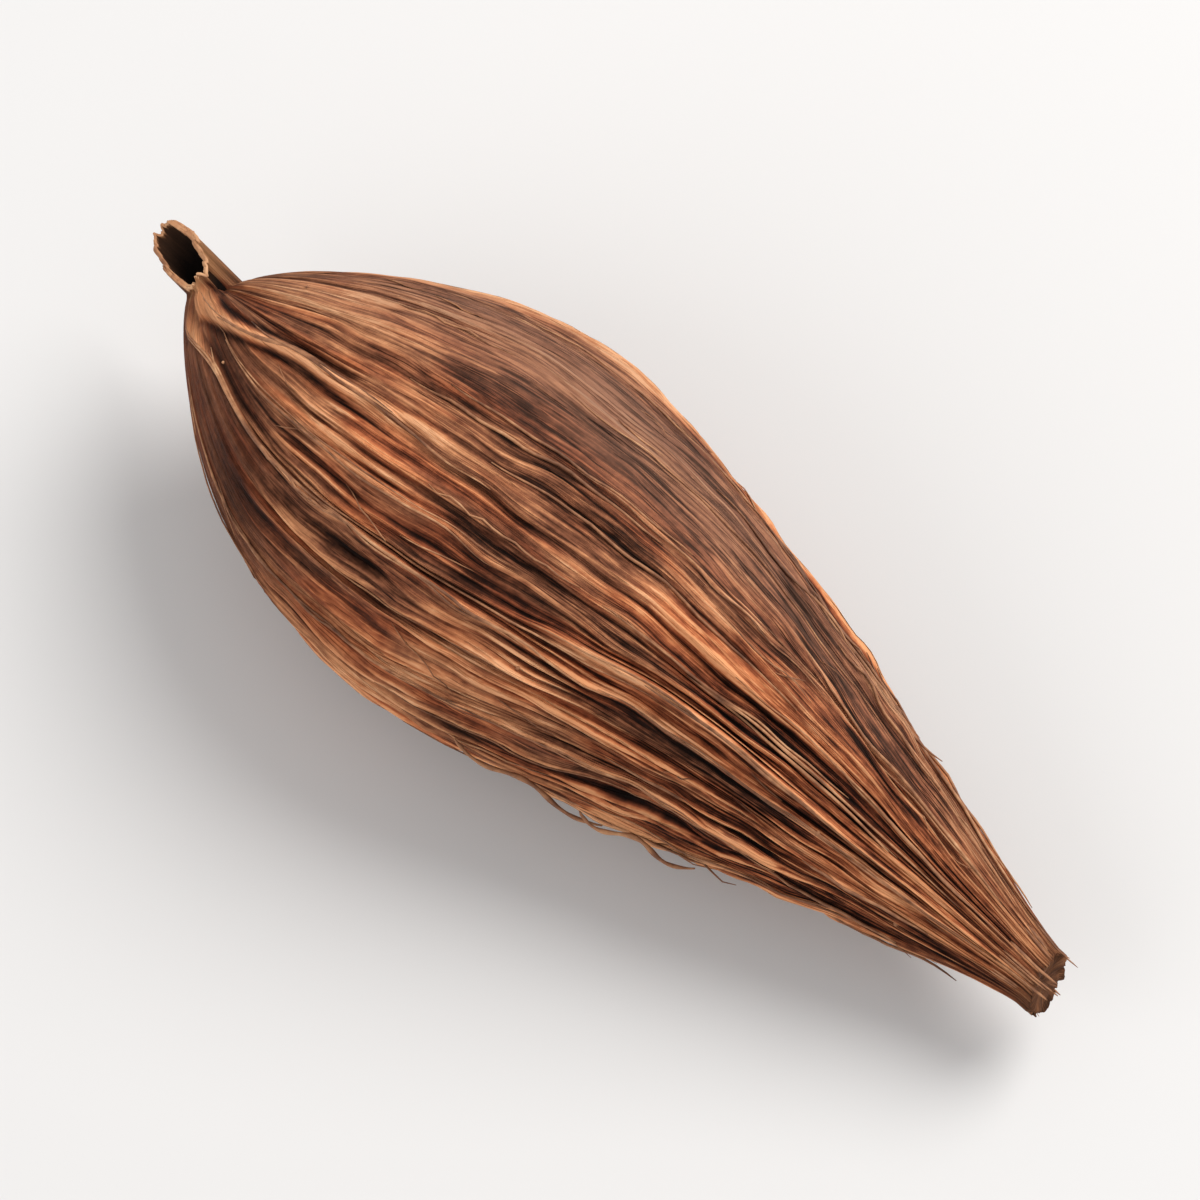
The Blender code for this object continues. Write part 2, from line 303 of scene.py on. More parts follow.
# How far the skin lies below the husk's envelope of crests
def relief(rib, share, fromTip, angle, fullness):
    along = np.clip(fromTip / husk["length"], 0, 1)
    across = rib + share
    valley = valleyShares[rib]
    before = share <= valley
    nearest = np.where(before, rib, rib + 1)
    down = np.clip(np.where(before, share / valley, (1 - share) / (1 - valley)), 0, 1)
    smooth = roundNear(husk, "smooth", angle)
    inTail = alongNear(skin, "tail", fromTip)
    rougher = 1 + skin["tailRougher"] * inTail
    tall = crestHeight(nearest, along, fullness)
    for kind in ("crestUneven", "crestNicks"):
        tall = tall * (1 + rougher * skin[kind] * skinNoise(kind, fromTip, nearest))
    lasts = np.clip((fullness - skin["lesserFrom"]) / skin["lesserFade"], 0, 1)
    lasts = lasts * (1 - skin["openLowers"] * openGrooves[rib] * alongNear(skin, "open", fromTip))
    ridges = [lasts * lesserRidge(kind, rib, share, along, fromTip) for kind in lesser]
    ridges.append((1 - down ** blend(skin["roundCrest"], husk["sharpCrest"], smooth)) * tall)
    stands = sum(np.exp(skin["ridgesMeet"] * ridge) for ridge in ridges)
    stands = np.log(stands - len(lesser)) / skin["ridgesMeet"]
    stands = stands + inPatches("fills", fromTip, across - 0.5) * np.maximum(0, skin["fillsTo"] - stands)
    # the calm strip on the flank behind the beak: its ribs are shallower and quieter, and the material paints
    # it darker: painted shade
    toFlank = (angle - skin["calmReachesFrom"]) / (skin["calmReachesTo"] - skin["calmReachesFrom"])
    calmReach = blend(*skin["calmReach"], np.clip(toFlank, 0, 1))
    calm = np.minimum(1, skin["calmRound"] * roundNear(skin, "calm", angle))
    calm = calm * np.minimum(1, skin["calmAlong"] * swell(fromTip - skin["calmAt"], calmReach))
    smooth = smooth * fullness
    depth = husk["ribDepth"] * fullness ** skin["depthPower"] * (1 - skin["smoothShallower"] * smooth)
    depth = depth * (1 - skin["calmShallower"] * calm)
    depth = depth * (1 - skin["shallower"] + (skin["shallower"] + skin["tailDeepens"]) * inTail)
    depth = depth * (1 + skin["depthUneven"] * skinNoise("depthUneven", fromTip, across))
    # patches where the crests sink towards the valley floor; the material paints them darker: painted shade
    sunk = inPatches("sinks", fromTip, across) * alongNear(skin, "sink", fromTip)
    below = depth * (1 - stands * (1 - skin["sinks"] * sunk))

    grows, starts, least = skin["fineFade"]
    fine = np.clip(fullness * grows - starts, least, 1)
    fine = fine * (1 - skin["smoothFiner"] * smooth) * (1 - skin["calmFiner"] * calm)
    toCrest = np.where(before, share, 1 - share)
    vein = np.exp(-((toCrest / skin["veinWidth"]) ** 2)) * inPatches("vein", fromTip, nearest)
    crack = np.exp(-(((toCrest - skin["crackAt"]) / skin["crackWidth"]) ** 2))
    crack = crack * inPatches("crack", fromTip, np.where(before, 0, 0.5) + nearest)
    below = below + fine * (skin["crack"] * crack - skin["vein"] * vein)
    swing = skin["wrinkleSwing"] * skinNoise("wrinkleSwing", fromTip, across)
    wrinkle = skinNoise("wrinkle", fromTip, across + swing)
    wrinkle = np.clip(1 - np.abs(wrinkle) / skin["wrinkleWidth"], 0, 1) - skin["wrinkleMean"]
    below = below - fine * skin["wrinkle"] * wrinkle
    for kind in ("grain", "pit", "dent"):
        below = below - fine * skin[kind] * skinNoise(kind, fromTip, across)
    for knotRib, knotAt, knotSize in knots:
        gap = (across - knotRib + ribCount / 2) % ribCount - ribCount / 2
        form = np.exp(-((gap / skin["knotWidth"]) ** 2) - ((fromTip - knotAt) / skin["knotLength"]) ** 2)
        below = below - skin["knotHeight"] * knotSize * fine * form
    below = skin["tops"] * np.logaddexp(0, below / skin["tops"])
    # the lower rear flank is painted darker: painted shade, handed on together with the sunk patches
    paintedShade = skin["paintedShade"] * roundNear(skin, "paintedShade", angle) * alongNear(skin, "paintedShade", fromTip)
    return below, smooth, calm, sunk + paintedShade


# A ridge on one flank of the valley, which leaves the crest beside it or rises out of the flank
def lesserRidge(kind, rib, share, along, fromTip):
    out = np.abs(along - kind["middle"][rib]) / kind["reach"][rib]
    flank = blend(kind["joins"], valleyShares[rib], kind["place"][rib])
    flank = flank + skin["lesserBend"] * skinNoise("lesserBend", fromTip, rib, int(kind["joins"]))
    centre = blend(flank, kind["joins"], kind["turns"][rib] * np.clip(out, 0, 1) ** skin["lesserTurnsIn"])
    mean, swing = skin["lesserUneven"]
    tall = kind["height"][rib] * (mean + swing * skinNoise("lesserUneven", fromTip, rib))
    form = np.clip(1 - np.abs(share - centre) / kind["width"][rib], 0, 1) ** skin["lesserCrest"]
    return tall * form * np.clip(1 - out ** skin["lesserEndsIn"], 0, 1)


# The skin's surface at any place between two ribs and along the pod
def huskSurface(rib, share, fromTip):
    along = np.clip(fromTip / husk["length"], 0, 1)
    fullness = halfWidth(fromTip, 0.0) / (husk["width"] / 2)
    wiggle = sum(skin[kind] * skinNoise(kind, fromTip, rib + share) for kind in ("wiggle", "shiver"))
    wiggle = wiggle * (1 + skin["tailWavier"] * alongNear(skin, "tail", fromTip))
    wiggle = wiggle * gaps[rib % ribCount] * np.clip(skin["wiggleFade"] * fullness, 0, 1)
    angle = huskAngle(rib, share, along) + wiggle
    # sunk holds the sunk patches and the painted shade of the lower rear flank
    below, smooth, calm, sunk = relief(rib, share, fromTip, angle, fullness)
    # the crevice behind the beak is dented in, and the material paints it darker: painted shade
    crevice = roundNear(husk, "crevice", angle) * alongNear(husk, "crevice", fromTip)
    # painted light on the nose; each raised crest adds painted highlight on its ridge and painted shade in
    # the grooves beside it
    nose = np.exp(-((turnBetween(angle, skin["noseAngle"]) / skin["noseWidth"]) ** 2))
    glow = skin["paintedNoseLight"] * nose * alongNear(skin, "nose", fromTip)
    for kind in raisedCrests:
        stands = raisedCrest(kind, fromTip, angle)
        below = below - kind["height"] * stands
        glow = glow + kind["glow"] * stands
    radius = halfWidth(fromTip, angle) * unevenness(along, angle) - below - husk["creviceDepth"] * crevice
    return {"fromTip": fromTip, "angle": angle, "radius": radius, "below": below, "smooth": smooth,
            "calm": calm, "crevice": crevice, "glow": glow, "sunk": sunk}


# One column of vertices for each step down a rib's side: its rib, and its share of the way to the next rib
def skinColumns():
    steps = skin["stepsToValley"]
    rib = np.repeat(np.arange(ribCount), 2 * steps)
    step = np.tile(np.arange(2 * steps), ribCount)
    valley = valleyShares[rib]
    share = np.where(step <= steps, valley * step / steps, valley + (1 - valley) * (step - steps) / steps)
    return rib, share


def blurAround(values, columns):
    wave = np.fft.rfftfreq(values.shape[1])
    soft = np.fft.rfft(values, axis=1) * np.exp(-2 * (np.pi * columns * wave) ** 2)
    return np.fft.irfft(soft, values.shape[1], axis=1)


# How much each place stands out from its surroundings round the pod: above 0 on a crest, below 0 in a groove
def standsOut(below, columns):
    sharp = blurAround(below, columns) - below
    return sharp / (np.sqrt(np.mean(sharp**2, axis=1, keepdims=True)) + skin["leastRelief"])


def skinBody():
    rib, share = skinColumns()
    count = skin["rings"] + 1 - skin["mouthRings"] - skin["stubRings"]
    even = np.linspace(0, 1, count)[:, None]
    along = blend(even, 0.5 - 0.5 * np.cos(np.pi * even), skin["crowdedAtEnds"])
    angle = huskAngle(rib, share, along)
    teeth = [skinNoise(kind, 0 * share, rib + share) for kind in ("stubTeeth", "stubSplinters")]
    ragged = skin["stubRagged"] * (0.5 + 0.5 * blend(*teeth, skin["stubSplinters"]))
    fromTip = husk["length"] * along - (brokenOff(angle) + ragged) * along ** skin["stubRaggedIn"]
    fromTip = fromTip + tornOff(angle) * np.clip(1 - fromTip / husk["mouthFade"], 0, 1) ** 2
    body = huskSurface(rib, share, fromTip)
    # the tone follows the relief: darker in the grooves, which is painted shade, and lighter on the crests
    body["tone"] = sum(part * standsOut(body["below"], columns) for part, columns in skin["toneSteps"])
    lip = skin["lipWidth"] + skin["lipWider"] * swell(turnBetween(angle, skin["lipAngle"]), skin["lipTurn"])
    body["rim"] = swell(fromTip - tornOff(angle), lip)
    body["stub"] = np.clip((fromTip - husk["length"] + skin["stubWoodFrom"]) / skin["stubWoodOver"], 0, 1)
    return body


def skinMouth():
    rib, share = skinColumns()
    inward = np.linspace(1, 0, skin["mouthRings"])[:, None] ** skin["mouthCrowded"]
    angle = huskAngle(rib, share, 0.0 * inward)
    fromTip = blend(tornOff(angle), husk["mouthSlant"] + husk["mouthDepth"], 1 - (1 - inward) ** 2)
    folds = skinNoise("mouthFold", fromTip, rib + share) * (1 - inward) * inward**0.5
    radius = husk["mouthRadius"] * np.maximum(0.0, np.cos(np.pi / 2 * inward)) ** skin["mouthRound"]
    mouth = {"fromTip": fromTip, "angle": angle, "radius": radius + skin["mouthFold"] * folds,
             "tone": skin["foldTone"] * folds, "rim": swell(inward, skin["rimInside"]) + 0 * angle}
    # the hollow of the mouth is painted darker going in: painted shade
    soon, later = skin["mouthShadeDeepens"]
    mouth["inMouth"] = (np.clip(soon * inward, 0, 1) + np.clip(later * inward, 0, 1)) / 2 + 0 * angle
    return mouth


def skinStub():
    rib, share = skinColumns()
    inward = (np.arange(skin["stubRings"]) / skin["stubRings"])[:, None] + 1 / skin["stubRings"]
    angle = huskAngle(rib, share, 1.0 + 0.0 * inward)
    short = blend(brokenOff(angle) + skin["stubRagged"] / 2, husk["stubSlant"] / 2 + husk["stubDish"], inward)
    stumps = skinNoise("stump", inward, rib + share) * np.sqrt(1 - inward)
    fromTip = husk["length"] - short + skin["stump"] * stumps
    radius = skin["stubInset"] * husk["stubRadius"] * (1 - inward) + 0 * angle
    lighter, darker = skin["stumpTone"]
    return {"fromTip": fromTip, "angle": angle, "radius": radius, "tone": lighter * stumps - darker,
            "stub": np.ones_like(angle)}


# What each vertex of the skin carries for its material, 0 where a part of the skin doesn't give it
skinValues = ("tone", "smooth", "calm", "crevice", "rim", "inMouth", "stub", "glow", "sunk")


# Starts from a unit sphere, whose lower pole becomes the floor of the beak's mouth
def shapeSkin():
    blocks = (skinMouth(), skinBody(), skinStub())
    grid = {key: np.concatenate([block.get(key, 0 * block["angle"]) for block in blocks])
            for key in ("fromTip", "angle", "radius", *skinValues)}
    points = place(grid["fromTip"], grid["angle"], grid["radius"])
    rings, columns = points.shape[0] - 1, points.shape[1]
    sphere = bmesh.new()
    bmesh.ops.create_uvsphere(sphere, u_segments=columns, v_segments=rings, radius=1.0)
    mesh = bpy.data.meshes.new("pod_skin")
    sphere.to_mesh(mesh)
    sphere.free()
    start = np.zeros(3 * len(mesh.vertices), dtype=np.float32)
    mesh.vertices.foreach_get("co", start)
    start = start.reshape(-1, 3)
    ring = np.rint(np.arccos(np.clip(-start[:, 2], -1, 1)) * rings / np.pi).astype(int)
    column = np.rint(np.arctan2(start[:, 1], start[:, 0]) * columns / (2 * np.pi)).astype(int) % columns
    mesh.vertices.foreach_set("co", points[ring, column].astype(np.float32).ravel())
    for name in skinValues:
        giveAttribute(mesh, name, "FLOAT", grid[name][ring, column])
    # patterns follow the ribs in this space: millimetres along the pod, and one step round it to a rib
    turn = 2 * np.pi * (np.add(*skinColumns()) / ribCount)[column]
    reach = ribCount / (2 * np.pi)
    fromTip = grid["fromTip"][ring, column] * 1000
    ribSpace = np.stack([fromTip, reach * np.cos(turn), reach * np.sin(turn)], axis=-1)
    giveAttribute(mesh, "ribSpace", "FLOAT_VECTOR", ribSpace)
    mesh.shade_smooth()
    mesh.update()
    return mesh


def giveAttribute(mesh, name, kind, values):
    attribute = mesh.attributes.new(name, kind, "POINT")
    key = "vector" if kind == "FLOAT_VECTOR" else "value"
    attribute.data.foreach_set(key, values.astype(np.float32).ravel())


# Shader maths as Python expressions: an operator adds its Math node
class Field:
    def __init__(self, graph, socket):
        self.graph, self.socket = graph, socket

    def maths(self, operation, *others):
        inputs = dict(enumerate((self, *others)))
        return self.graph.node("ShaderNodeMath", {"operation": operation}, inputs)[0]

    def __add__(self, other):
        return self.maths("ADD", other)

    def __sub__(self, other):
        return self.maths("SUBTRACT", other)

    def __rsub__(self, other):
        return self.graph.node("ShaderNodeMath", {"operation": "SUBTRACT"}, {0: other, 1: self})[0]

    def __mul__(self, other):
        return self.maths("MULTIPLY", other)

    def __truediv__(self, other):
        return self.maths("DIVIDE", other)

    def __pow__(self, other):
        return self.maths("POWER", other)

    __radd__, __rmul__ = __add__, __mul__

    def clamped(self):
        return self.graph.node("ShaderNodeClamp", {}, {"Value": self})[0]


# The outputs of a node, with the node itself
class Made(list):
    def __init__(self, node, fields):
        super().__init__(fields)
        self.shader = node


class Graph:
    def __init__(self, name):
        self.material = bpy.data.materials.new(name)
        self.material.use_nodes = True
        self.tree = self.material.node_tree
        self.surface = self.tree.nodes["Principled BSDF"]

    # Adds a node: first its settings, then the values or links of its sockets
    def node(self, kind, settings=None, inputs=None):
        made = self.tree.nodes.new(kind)
        for key, value in (settings or {}).items():
            if key == "stops":
                ramp = made.color_ramp
                while len(ramp.elements) < len(value):
                    ramp.elements.new(0.5)
                for element, (position, colour) in zip(ramp.elements, value):
                    element.position, element.color = position, (*colour, 1.0)
            else:
                setattr(made, key, value)
        self.connect(made, inputs or {})
        return Made(made, [Field(self, out) for out in made.outputs if out.enabled])

    def connect(self, node, inputs):
        for key, value in inputs.items():
            socket = node.inputs[key]
            if isinstance(value, Field):
                self.tree.links.new(value.socket, socket)
            else:
                socket.default_value = value

    def attribute(self, name, output=2):
        return self.node("ShaderNodeAttribute", {"attribute_name": name})[output]

    def scaled(self, vector, factors):
        return self.node("ShaderNodeVectorMath", {"operation": "MULTIPLY"}, {0: vector, 1: factors})[0]

    def noise(self, vector, scale, detail=3.0, roughness=0.55):
        inputs = {"Vector": vector, "Scale": scale, "Detail": detail, "Roughness": roughness}
        return self.node("ShaderNodeTexNoise", {}, inputs)[0]

    # a noise drawn out along the ribs
    def ribNoise(self, ribSpace, along, across, *settings):
        return self.noise(self.scaled(ribSpace, (along, across, across)), *settings)

    def bump(self, height, distance, strength):
        inputs = {"Height": height, "Distance": distance, "Strength": strength}
        return self.node("ShaderNodeBump", {}, inputs)[0]

    def ramp(self, share, stops):
        return self.node("ShaderNodeValToRGB", {"stops": stops}, {"Fac": share})[0]

    def mixed(self, share, first, second):
        made = self.node("ShaderNodeMix", {"data_type": "RGBA", "clamp_factor": True})
        self.connect(made.shader, {0: share, 6: first, 7: second})
        return made[0]


huskFinish = {
    "stops": (
        (0.00, (0.0050, 0.0016, 0.0007)), (0.18, (0.022, 0.0068, 0.0030)), (0.34, (0.092, 0.031, 0.0145)),
        (0.52, (0.238, 0.086, 0.0425)), (0.68, (0.420, 0.172, 0.080)), (0.85, (0.640, 0.280, 0.130)),
        (1.00, (0.830, 0.440, 0.235)),
    ),
    "rustStops": (
        (0.00, (0.0050, 0.0013, 0.0005)), (0.18, (0.023, 0.0055, 0.0023)), (0.34, (0.096, 0.025, 0.0105)),
        (0.52, (0.250, 0.066, 0.027)), (0.68, (0.420, 0.126, 0.050)), (0.85, (0.620, 0.216, 0.086)),
        (1.00, (0.810, 0.360, 0.165)),
    ),
    "greyBrown": (0.300, 0.158, 0.108, 1.0), "greyShare": 0.60, "amber": (0.930, 0.375, 0.160, 1.0),
    "rimTan": (0.680, 0.330, 0.150, 1.0), "stubWood": (0.200, 0.100, 0.052, 1.0),
    # the mouth's wall keeps its own brown near the rim; the second colour is the painted shade deep in the
    # hollow
    "mouthWall": (0.085, 0.038, 0.019, 1.0), "mouthPaintedShade": (0.010, 0.0042, 0.0022, 1.0),
    # noises along the ribs: scale along and across, scale of both, detail, roughness
    "noises": {
        "fibres": (0.45, 9.0, 1.0, 4.0, 0.62), "strips": (0.24, 2.4, 1.0, 2.0),
        "dashes": (1.10, 3.0, 1.0, 3.0, 0.6), "beads": (2.60, 4.5, 1.0, 2.0, 0.6),
        "pieces": (0.42, 1.15, 1.3, 3.0, 0.5), "bands": (0.13, 0.62, 1.0, 2.0),
        "broad": (0.11, 0.33, 1.0, 1.0),
    },
    "blotches": (300.0, 3.0), "specks": (5200.0, 2.0, 0.6), "rust": (0.22, 0.9, 1.3, 2.0),
    # thin lines where such a noise crosses a level, and how thin they are
    "lines": {"dark": ((0.20, 4.2, 1.0, 3.0, 0.6), 0.50, 20.0),
              "pale": ((0.16, 5.5, 1.7, 2.0, 0.5), 0.52, 17.0)},
    # painted highlight on the crest tops, where the tone rises above this level
    "paintedHighlightFrom": 0.9, "tailFrom": 14.4, "tailOver": 9.0,
    # how much of the tone each pattern makes, and how much more near the stalk; relief paints the grooves
    # darker, as painted shade, and the crests lighter
    "onBusySkin": {"relief": (0.074, 0.070), "fibres": (0.70, 0.0), "strips": (0.28, 0.24),
                   "dashes": (0.37, 0.36), "pieces": (0.42, 0.16), "dark": (-0.11, -0.10),
                   "pale": (0.14, 0.14)},
    "wide": {"bands": (1.05, 0.0), "broad": (0.50, 0.0)},
    # tops is a painted highlight on the crest tops
    "everywhere": {"beads": (0.18, 0.34), "tops": (0.09, 0.11), "blotches": (0.34, 0.0),
                   "specks": (0.20, 0.0)},
    # sunk, crevice and calm are painted shade, darkening the sunk patches with the lower rear flank, the
    # crevice behind the beak and the calm strip; the last adds painted light on the nose and crests
    "places": {"sunk": -0.22, "crevice": -0.12, "calm": -0.22, "glow": 0.43},
    "meanTone": 0.601, "tailTone": 0.022, "fibresOnPaintedLight": 0.55, "darkLinesOnPaintedLight": 0.14, "smoothDark": 0.24,
    "calmQuiets": 0.82, "calmQuietsWide": 0.5,
    "rustFrom": 0.45, "rustSharpness": 6.0, "tailRust": 1.2, "leastGrey": 0.4, "amberFrom": 0.10,
    "stubFibres": (0.25, 0.7), "rimFibres": (0.35, 0.9),  # evenly, where the fibres are light
    "roughness": 0.74, "speckRoughness": 0.25, "fibreRoughness": -0.20, "specular": 0.12,
    "height": {"fibres": 0.9, "specks": 0.40, "strips": 0.3, "dark": -0.40, "pale": 0.20, "beads": 0.35},
    "bumpDistance": 0.00007, "bumpStrength": 1.0,
}


def huskMaterial():
    graph, finish = Graph("husk"), huskFinish
    given = {name: graph.attribute(name) for name in skinValues}
    smooth, glow, calm = given["smooth"], given["glow"], given["calm"]
    ribSpace = graph.attribute("ribSpace", 1)
    fromTip = graph.node("ShaderNodeSeparateXYZ", {}, {0: ribSpace})[0]
    tail = ((fromTip - finish["tailFrom"]) / finish["tailOver"]).clamped()
    noises = {name: graph.ribNoise(ribSpace, *kind) for name, kind in finish["noises"].items()}
    spot = graph.node("ShaderNodeTexCoord")[3]
    for name in ("blotches", "specks"):
        noises[name] = graph.noise(spot, *finish[name])
    patterns = {name: noise - 0.5 for name, noise in noises.items()}
    # relief: darker in the grooves, as painted shade, and lighter on the crests
    patterns["relief"] = given["tone"]
    # tops: a painted highlight along the highest crests
    patterns["tops"] = (given["tone"] - finish["paintedHighlightFrom"]).clamped()
    for name, (kind, level, thinness) in finish["lines"].items():
        off = (graph.ribNoise(ribSpace, *kind) - level) * thinness
        patterns[name] = 1 - (off**2).clamped()

    def layered(group):
        return sum(patterns[name] * (tail * more + share) for name, (share, more) in finish[group].items())

    tone = layered("onBusySkin") + patterns["fibres"] * glow * finish["fibresOnPaintedLight"]
    tone = tone - patterns["dark"] * (smooth * finish["smoothDark"] + glow * finish["darkLinesOnPaintedLight"])
    tone = tone * (1 - calm * finish["calmQuiets"]) + layered("wide") * (1 - calm * finish["calmQuietsWide"])
    tone = tone + layered("everywhere") + sum(given[name] * share for name, share in finish["places"].items())
    tone = tone + tail * finish["tailTone"] + finish["meanTone"]
    colour = graph.ramp(tone.clamped(), finish["stops"])
    rusty = (graph.ribNoise(ribSpace, *finish["rust"]) - finish["rustFrom"]) * finish["rustSharpness"]
    rusty = (rusty + tail * finish["tailRust"]).clamped() * (1 - smooth).clamped()
    colour = graph.mixed(rusty, colour, graph.ramp(tone.clamped(), finish["rustStops"]))
    greyed = smooth * finish["greyShare"] * (noises["blotches"] + 0.5) * (tone + finish["leastGrey"])
    colour = graph.mixed(greyed.clamped(), colour, finish["greyBrown"])
    # amber over the nose and the raised crests: their worn colour, laid where the painted light is
    amber = (glow * (noises["fibres"] - finish["amberFrom"])).clamped()
    colour = graph.mixed(amber, colour, finish["amber"])
    evenly, more = finish["stubFibres"]
    colour = graph.mixed(given["stub"] * (evenly + more * noises["fibres"]), colour, finish["stubWood"])
    # deeper in the mouth the wall's brown gives way to painted shade
    wall = given["inMouth"] * 2.0
    mouthWallAndPaintedShade = graph.mixed((wall - 1.0).clamped(), finish["mouthWall"], finish["mouthPaintedShade"])
    colour = graph.mixed(wall.clamped(), colour, mouthWallAndPaintedShade)
    evenly, more = finish["rimFibres"]
    colour = graph.mixed(given["rim"] * (evenly + more * noises["fibres"]), colour, finish["rimTan"])
    rough = patterns["specks"] * finish["speckRoughness"] + patterns["fibres"] * finish["fibreRoughness"]
    height = sum(patterns[name] * share for name, share in finish["height"].items())
    bump = graph.bump(height, finish["bumpDistance"], finish["bumpStrength"])
    graph.connect(graph.surface, {"Base Color": colour, "Roughness": (rough + finish["roughness"]).clamped(),
                                  "Normal": bump, "Specular IOR Level": finish["specular"]})
    return graph.material


def addPiece(name, mesh, material):
    mesh.materials.append(material)
    piece = bpy.data.objects.new(name, mesh)
    bpy.context.scene.collection.objects.link(piece)
    return piece


def makeSkin():
    piece = addPiece("pod_skin", shapeSkin(), huskMaterial())
    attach(piece, "root")
    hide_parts("pod")
    print("skin:", len(piece.data.vertices), "vertices")


# Thin fibres on the ribs, in metres: each kind is drawn in turn from one seed
fibres = {
    "seed": 77, "radius": 0.00005, "roundness": 1, "step": 0.00030, "fewestPoints": 5, "close": 0.00001,
    "merge": 0.0000002, "lowest": 0.00012, "outside": 0.00005,
    "riding": {"count": 90, "length": (0.0030, 0.0110), "between": (0.0024, 0.0288), "thick": (0.40, 0.95),
               "lift": 0.00005, "lifts": (1, 4), "stands": 0.2, "beside": 0.06, "drift": 0.20, "wave": 0.03,
               "waves": (2, 5)},
    "frayed": {"count": 20, "length": (0.0030, 0.0070), "between": (0.0150, 0.0292), "thick": (0.45, 0.95),
               "lift": 0.00034, "liftShare": (0.3, 1.0), "unevenLift": 0.3, "liftTurns": 11, "drift": 0.9,
               "wave": 0.10, "waveTurns": 9},
    "hairs": {"count": 70, "length": (0.0006, 0.0022), "between": (0.0025, 0.0280), "thick": (0.22, 0.42),
              "lift": 0.00012, "liftShare": (0.2, 1.0), "points": 8, "askew": 0.8, "bend": 0.3},
    "ends": {"count": 26, "length": (0.0007, 0.0019), "thick": (0.40, 0.95), "points": 9,
             "starts": 0.0016, "leaves": 0.0006, "slope": 0.8, "longest": 0.00055, "lift": 0.25,
             "curls": (-0.7, 1.0), "askew": 0.6},
    "crestStrands": {"count": 7, "length": (0.0022, 0.0052), "thick": (0.40, 0.80),
                     "start": (0.0001, 0.0030), "apart": 0.00007, "wave": 0.3, "waveTurns": 1500},
    "stray": ({"start": 0.0146, "length": 0.0040, "angle": math.radians(176), "turn": math.radians(12),
               "lift": 0.00020},
              {"start": 0.0180, "length": 0.0030, "angle": math.radians(184), "turn": math.radians(9),
               "lift": 0.00026}),
    "strayForm": {"points": 40, "thick": 1.25, "endThick": 0.35, "unevenThick": 0.2, "thickTurns": 31,
                  "sway": 0.03, "swayTurns": 9, "loop": 0.55, "loopTurns": 8.5},
    "rim": {"strands": 4, "points": 150, "cells": 15, "seed": 61, "thick": 0.64, "spread": 0.000034,
            "lipTurn": 1.8, "lipWider": 1.4, "lipThicker": 0.4, "unevenThick": 0.50, "waveThick": 0.15,
            "waves": (9, 4), "unevenLength": 0.00004, "unevenRadius": 0.00003, "inset": 0.00002},
    "crumbs": {"count": 18, "radius": (0.000040, 0.000078), "between": (0.004, 0.0285), "stands": 0.15,
               "long": (0.8, 1.9), "wide": (0.6, 1.1)},
}


# Points that lie on the skin at those places, raised by their lift
def onSkin(across, fromTip, lift):
    across = across % ribCount
    rib = np.floor(across).astype(int)
    spot = huskSurface(rib, across - rib, fromTip)
    return place(spot["fromTip"], spot["angle"], spot["radius"] + lift), spot["angle"]


# Where an angle round the pod lies, counted in ribs
def acrossAt(angle, fromTip):
    ribs = np.stack([crestAngle(i, fromTip / husk["length"]) for i in range(2 * ribCount)])
    turned = ribs[0] + (angle - ribs[0]) % (2 * np.pi)
    return np.array([np.interp(turned[k], ribs[:, k], np.arange(2 * ribCount)) for k in range(len(fromTip))])


# A strand that would touch the floor or stand out past the CAD pod's box is left out
def addStrand(curve, points, thickness, cyclic=False):
    outside = np.concatenate([np.array(cadLow) - points, points - np.array(cadHigh)]).max()
    if not cyclic and (points[:, 2].min() < fibres["lowest"] or outside > fibres["outside"]):
        return
    spline = curve.splines.new("POLY")
    spline.points.add(len(points) - 1)
    spline.points.foreach_set("co", np.column_stack([points, np.ones(len(points))]).ravel())
    spline.points.foreach_set("radius", thickness)
    spline.use_cyclic_u = cyclic


def tapered(share, thick, end=0.25):
    return thick * (end + (1 - end) * np.sin(np.pi * share) ** 0.5)


def pointsAlong(length):
    return np.linspace(0, 1, max(fibres["fewestPoints"], round(length / fibres["step"])))


# where along the pod the next strand of a kind lies, and how far each of its points is on its way
def drawStretch(kind, rng):
    length = rng.uniform(*kind["length"])
    start = rng.uniform(kind["between"][0], kind["between"][1] - length)
    share = np.linspace(0, 1, kind["points"]) if "points" in kind else pointsAlong(length)
    return share, start + length * share


def eitherWay(rng, reach):
    return rng.uniform(-reach, reach)


# along a rib's crest, here and there a little off the skin
def addRiding(curve, rng):
    kind = fibres["riding"]
    for _ in range(kind["count"]):
        share, fromTip = drawStretch(kind, rng)
        beside = rng.choice([0.0, 0.0, 0.0, valleyShares[0]]) + eitherWay(rng, kind["beside"])
        across = eitherWay(rng, kind["drift"]) * share**2 + beside + rng.integers(ribCount)
        across = across + kind["wave"] * np.sin(2 * np.pi * share * rng.uniform(*kind["waves"]))
        thick = rng.uniform(*kind["thick"])
        lift = kind["lift"] * np.sin(np.pi * share * rng.uniform(*kind["lifts"])) ** 2
        points, _ = onSkin(across, fromTip, lift + kind["stands"] * fibres["radius"] * thick)
        addStrand(curve, points, tapered(share, thick))


# from the skin out into the air near the stalk, where the husk frays
def addFrayed(curve, rng):
    kind = fibres["frayed"]
    for _ in range(kind["count"]):
        share, fromTip = drawStretch(kind, rng)
        across = rng.uniform(0, ribCount) + eitherWay(rng, kind["drift"]) * share**2
        across = across + kind["wave"] * np.sin(kind["waveTurns"] * share + rng.uniform(0, 6))
        lift = kind["lift"] * rng.uniform(*kind["liftShare"]) * share**2
        lift = lift * (1 + kind["unevenLift"] * np.sin(kind["liftTurns"] * share + rng.uniform(0, 6)))
        points, _ = onSkin(across, fromTip, lift + fibres["close"])
        addStrand(curve, points, tapered(share, rng.uniform(*kind["thick"])))


